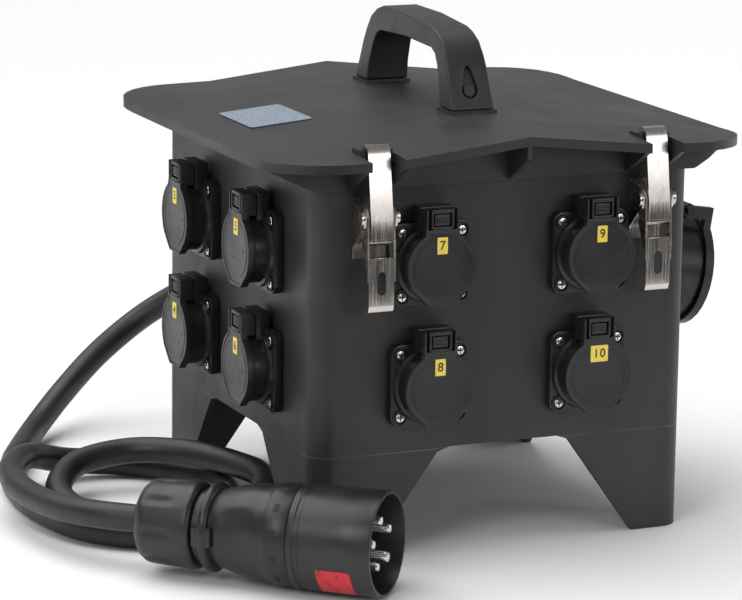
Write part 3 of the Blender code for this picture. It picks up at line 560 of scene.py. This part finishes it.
def make_socket(number, side, across, up):
    place = wall_place(side, across, up)
    base = Shape(place)
    base.plate(rounded(50, 50, 6.5, 6), 0.3, 6.2, 1.0)
    for x in (-SCREW_OFFSET, SCREW_OFFSET):
        for y in (-SCREW_OFFSET, SCREW_OFFSET):
            boss = ((3.9, 6.0), (4.6, 6.0), (4.6, 7.4), (3.9, 7.4), (3.7, 6.4))
            base.turned(boss, 24, place=Matrix.Translation((x, y, 0)))
    base.turned(((24, 6), (23.2, 8.2), (21.3, 8.8), (21.2, 16.5), (19.7, 16.5), (19.6, -1), (0, -1)), 56)
    base.box((-10.9, 18, 3), (10.9, 35, 11.9), 0.9)
    for sign in (-1, 1):
        low, high = sorted((sign * 16.4, sign * 20))
        base.box((low, -2.5, -1.4), (high, 2.5, 13.5), 0.5)
        hole = sign * CONTACT_OFFSET
        base.box((hole - 4.5, -4.5, -1.2), (hole + 4.5, 4.5, 0.2), 0.4)
    base.done(f"socket_{number}_frame", "socket", "housing", f"socket_{number}")
    metal = Shape(place)
    for x in (-SCREW_OFFSET, SCREW_OFFSET):
        for y in (-SCREW_OFFSET, SCREW_OFFSET):
            cross_screw(metal, x, y, 5.9, 3.1)
    for sign in (-1, 1):
        low, high = sorted((sign * 17.2, sign * 19.7))
        metal.box((-2, low, -1.2), (2, high, 11.5), 0.3)
    metal.done(f"socket_{number}_screws", "screw", "housing")
    # Painted shade: near-black discs where the contact holes would be, and near-black crosses on the screw
    # heads where their cross recesses would be
    hole_shade = Shape(place)
    for x in (-CONTACT_OFFSET, CONTACT_OFFSET):
        hole_shade.rod((x, 0, -1), (x, 0, 0.35), 2.5, 20, 0)
    for x in (-SCREW_OFFSET, SCREW_OFFSET):
        for y in (-SCREW_OFFSET, SCREW_OFFSET):
            hole_shade.box((x - 1.9, y - 0.35, 7.0), (x + 1.9, y + 0.35, 7.55), 0.05)
            hole_shade.box((x - 0.35, y - 1.9, 7.0), (x + 0.35, y + 1.9, 7.55), 0.05)
    hole_shade.done(f"socket_{number}_holes", "dark", "housing")
    make_cap(number, place)


def cap_outline():
    """Round cap with a flat chin and shoulders that run up to the hinge."""
    points = [(10.4, 22.8), (-10.4, 22.8)]
    left = [(22.2 * math.cos(math.radians(a)), 22.2 * math.sin(math.radians(a))) for a in range(120, 222, 6)]
    right = [(-x, y) for x, y in reversed(left)]
    return points + left + [(-8.2, -22.3), (8.2, -22.3)] + right


def make_cap(number, place):
    """Cap with its hinge block: two slots and a ribbed spring cover in a sunk window."""
    body = f"socket_cap_{number}"
    cap = Shape(place)
    cap.plate(cap_outline(), 16.8, 21.6, 0.6, (1.5, 0.5))
    ring = ((16.9, 20.9), (17.1, 21.25), (17.5, 21.3), (17.7, 20.9))
    cap.turned(ring, 56)
    for sign in (-1, 1):
        low, high = sorted((sign * 9.0, sign * 10.5))
        cap.box((low, 21, 12.2), (high, 34.4, 21.5), 0.6)
        low, high = sorted((sign * 5.8, sign * 7.3))
        cap.box((low, 21, 14), (high, 34.2, 21.3), 0.5)
    cap.box((-7.3, 32.4, 13), (7.3, 34.6, 21.2), 0.6)
    cap.box((-7.3, 22.2, 16), (7.3, 24.4, 21.3), 0.5)
    cap.box((-9.4, 21.5, 12.6), (9.4, 34.3, 17.6), 0.5)
    cap.box((-4.9, 25.2, 17), (4.9, 31.6, 20.6), 0.6)
    for index in range(3):
        y = 26.6 + 1.8 * index
        cap.box((-4.2, y - 0.35, 20.4), (4.2, y + 0.35, 21.0), 0.15)
    for angle, width in ((0, 5), (180, 5), (235, 4), (305, 4)):
        turn = Matrix.Translation((11 * math.cos(math.radians(angle)), 8 * math.sin(math.radians(angle)), 0))
        cap.box((-width / 2, -0.5, 21.0), (width / 2, 0.5, 21.22), 0.08, place=turn)
    cap.done(f"{body}_shape", "cap", body, body)
    width = 11.5 if number > 9 else 6.6
    label = Shape(place)
    label.plate(rounded(width, 10, 0.5, 2, (0, CAP_LABEL_UP)), 21.0, 21.3, 0.05)
    label.done(f"{body}_label", "yellow", body)
    number_place = place @ Matrix.Translation((0, CAP_LABEL_UP, 21.32))
    number_mark(f"{body}_number", str(number), number_place, 7.6, body)


def number_mark(name, text, place, size, body):
    """Flat printed digits."""
    curve = bpy.data.curves.new(name, "FONT")
    curve.body = text
    curve.size = size
    curve.align_x = "CENTER"
    curve.align_y = "CENTER"
    curve.extrude = 0.03
    curve.offset = 0.1
    curve.space_character = 1.15
    holder = bpy.data.objects.new(name, curve)
    bpy.context.scene.collection.objects.link(holder)
    depsgraph = bpy.context.evaluated_depsgraph_get()
    mesh = bpy.data.meshes.new_from_object(holder.evaluated_get(depsgraph))
    bpy.data.objects.remove(holder)
    mesh.transform(TO_ROW @ place)
    mesh.materials.clear()
    mesh.materials.append(MATERIALS["ink"])
    made = bpy.data.objects.new(name, mesh)
    bpy.context.scene.collection.objects.link(made)
    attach(made, body)


# Round socket on the right wall -------------------------------------------------------------------

def make_cee_socket():
    place = wall_place("right", 0, CEE_Z) @ Matrix.Rotation(CEE_TILT, 4, "X")
    refined("cee_socket", "socket", 0.7)
    refined("cee_contacts", "socket", 0.5)
    refined("cee_cap", "cap", 0.8)
    trim = Shape(place)
    trim.turned(((30, 65.0), (31, 65.6), (33, 65.6), (34, 65.0)), 64)
    trim.turned(((33, 59.0), (33, 57.5), (32.6, 57.2), (32.0, 57.5), (32, 59.0)), 64)
    trim.done("cee_cap_rings", "cap", "cee_cap")


# Plug ---------------------------------------------------------------------------------------------

def plug_place():
    """Frame on the plug's axis: Z from the lead to the pins, X upwards."""
    axis = (PLUG_FRONT - PLUG_REAR).normalized()
    side = axis.cross(Vector((0, 0, 1))).normalized()
    up = side.cross(axis)
    turn = Matrix((up, side, axis)).transposed().to_4x4()
    return Matrix.Translation(PLUG_REAR) @ turn


def grip(angle, height):
    """Shallow spindle-shaped grip hollows around the nut."""
    across = abs((angle * 8 / (2 * math.pi) + 0.5) % 1 - 0.5) * 2
    along = max(0.0, 1 - ((height - 17) / 11) ** 2)
    return 1.5 * along * max(0.0, 1 - (across / 0.32) ** 2)


def crescent(angle, height):
    """Two thumb hollows on the sides of the plug's body."""
    across = abs(((angle / math.pi) % 1) - 0.5) * 2
    along = max(0.0, 1 - ((height - 68) / 13) ** 2)
    return 2.6 * along * max(0.0, 1 - (across / 0.5) ** 2)


def make_plug():
    place = plug_place()
    length = (PLUG_FRONT - PLUG_REAR).length
    nut = [(9.2, 0.4), (14, 0), (18.5, 0.9), (22, 3), (24.2, 6)]
    nut += [(24.8 + 1.2 * step / 12, 8 + 26 * step / 12) for step in range(13)]
    nut += [(26, 35.5), (25.2, 37.4), (23.5, 38.1), (0, 38.1)]
    shape = Shape(place)
    shape.turned(nut, 96, wobble=grip)
    shape.done("plug_nut_shape", "plug", "housing", "plug_nut", smooth=50)
    body = [(0, 38.6), (21.8, 38.6), (21.8, 43.2), (25.8, 44), (26.4, 45), (26.4, 47.6), (25.6, 48.6)]
    body += [(22.6, 49.4)]
    body += [(22.6 + 5.6 * math.sin(math.pi / 2 * step / 12), 50 + 30 * step / 12) for step in range(13)]
    body += [(28.6, 84), (29.6, 86), (29.9, 87), (29.9, 99), (29.2, 99.9), (0, 99.9)]
    shape = Shape(place)
    shape.turned(body, 96, wobble=crescent)
    for sign in (-1, 1):
        shape.box((-6, sign * 22.6 - 3, 40), (6, sign * 22.6 + 3, 52), 1.2)
    shape.done("plug_body_shape", "plug", "housing", "plug_body", smooth=40)
    shroud = [(29.2, 100.2), (30.7, 100.6), (30.9, 101.5), (30.9, 104), (30.2, 104.6), (30.2, 107)]
    shroud += [(30.9, 107.6), (30.8, 130), (30.8, length - 0.8), (30.4, length), (28.9, length)]
    shroud += [(28.6, length - 0.6), (28.6, 112), (0, 112)]
    shape = Shape(place)
    shape.turned(shroud, 96)
    key_turn = Matrix.Rotation(math.radians(PLUG_KEY_ANGLE), 4, "Z")
    shape.box((29.8, -3, length - 30), (32.6, 3, length - 0.6), 0.7, place=key_turn)
    shape.done("plug_shroud_shape", "plug", "housing", "plug_shroud", smooth=40)
    # Painted shade: near-black strips around the collar where its slots would be
    slots = Shape(place)
    for index in range(12):
        turn = Matrix.Rotation(math.radians(30 * index + 15), 4, "Z")
        slots.box((29.2, -2.6, 90), (30.0, 2.6, 93.6), 0.3, place=turn)
    slots.done("plug_collar_slot_shade", "dark", "housing")
    pins = Shape(place)
    for index in range(5):
        angle = math.radians(PLUG_KEY_ANGLE + 72 * index)
        radius = 3.6 if index == 0 else 2.9
        x, y = PIN_CIRCLE * math.cos(angle), PIN_CIRCLE * math.sin(angle)
        profile = ((radius, 112), (radius, 147.2), (radius * 0.8, 148.4), (radius * 0.45, 148.9), (0, 149))
        pins.turned(profile, 28, place=Matrix.Translation((x, y, 0)))
    pins.done("plug_pins_shape", "nickel", "housing", "plug_pins")
    floor = Shape(place)
    floor.turned(((28.5, 112.2), (28.5, 115.6), (27.8, 116.2), (0, 116.2)), 64)
    floor.done("plug_insert", "socket", "housing")
    make_red_label(place)


def make_red_label(place):
    """Curved label on the plug's barrel, low on its outer side."""
    label = bmesh.new()
    rows = []
    for step in range(13):
        angle = math.radians(110 + 42 * step / 12)
        x, y = PLUG_LABEL_RADIUS * math.cos(angle), PLUG_LABEL_RADIUS * math.sin(angle)
        rows.append([label.verts.new((x, y, z)) for z in (118, 139)])
    for first, second in zip(rows, rows[1:]):
        label.faces.new((first[0], first[1], second[1], second[0]))
    bmesh.ops.recalc_face_normals(label, faces=label.faces)
    shape = Shape(place)
    shape.take(label, Matrix(), 0)
    shape.done("plug_red_label", "red", "housing")


# Everything else ----------------------------------------------------------------------------------

def make_latches():
    for side in ("left", "right"):
        refined(f"latch_base_{side}", "steel", 0.25)
        refined(f"latch_lever_{side}", "steel", 0.3)
        refined(f"latch_strap_{side}", "steel", 0.25, angle=40)


def make_inside():
    for index in (1, 2, 3):
        refined(f"mcb_{index}_body", "grey", 0.6)
        refined(f"mcb_{index}_toggle", "black", 0.5)
    refined("rcd_body", "grey", 0.6)
    refined("rcd_toggle", "blue", 0.5)
    refined("rcd_test_button", "blue", 0.3)
    refined("terminal_block", "grey", 0.5)
    refined("inner_cover", "grey", 0.5)
    refined("din_rail", "zinc", 0.15)


make_camera()
lead, lead_length = make_cord()
make_stage()
refined("housing", "housing", 0.7)
refined("lid", "lid", 1.0)
refined("lid_gasket", "rubber", 0.3)
refined("handle", "handle", 2.6, 4, 50)
for end in ("front", "back"):
    refined(f"handle_screw_{end}", "black", 0.5)
refined("rating_label", "film", 0.1)
for side in ("left", "right"):
    refined(f"hinge_bracket_{side}", "steel", 0.25)
    refined(f"hinge_pin_{side}", "screw", 0.3)
refined("cord_gland", "handle", 0.6)
make_latches()
for socket in sockets():
    make_socket(*socket)
make_cee_socket()
make_plug()
make_inside()
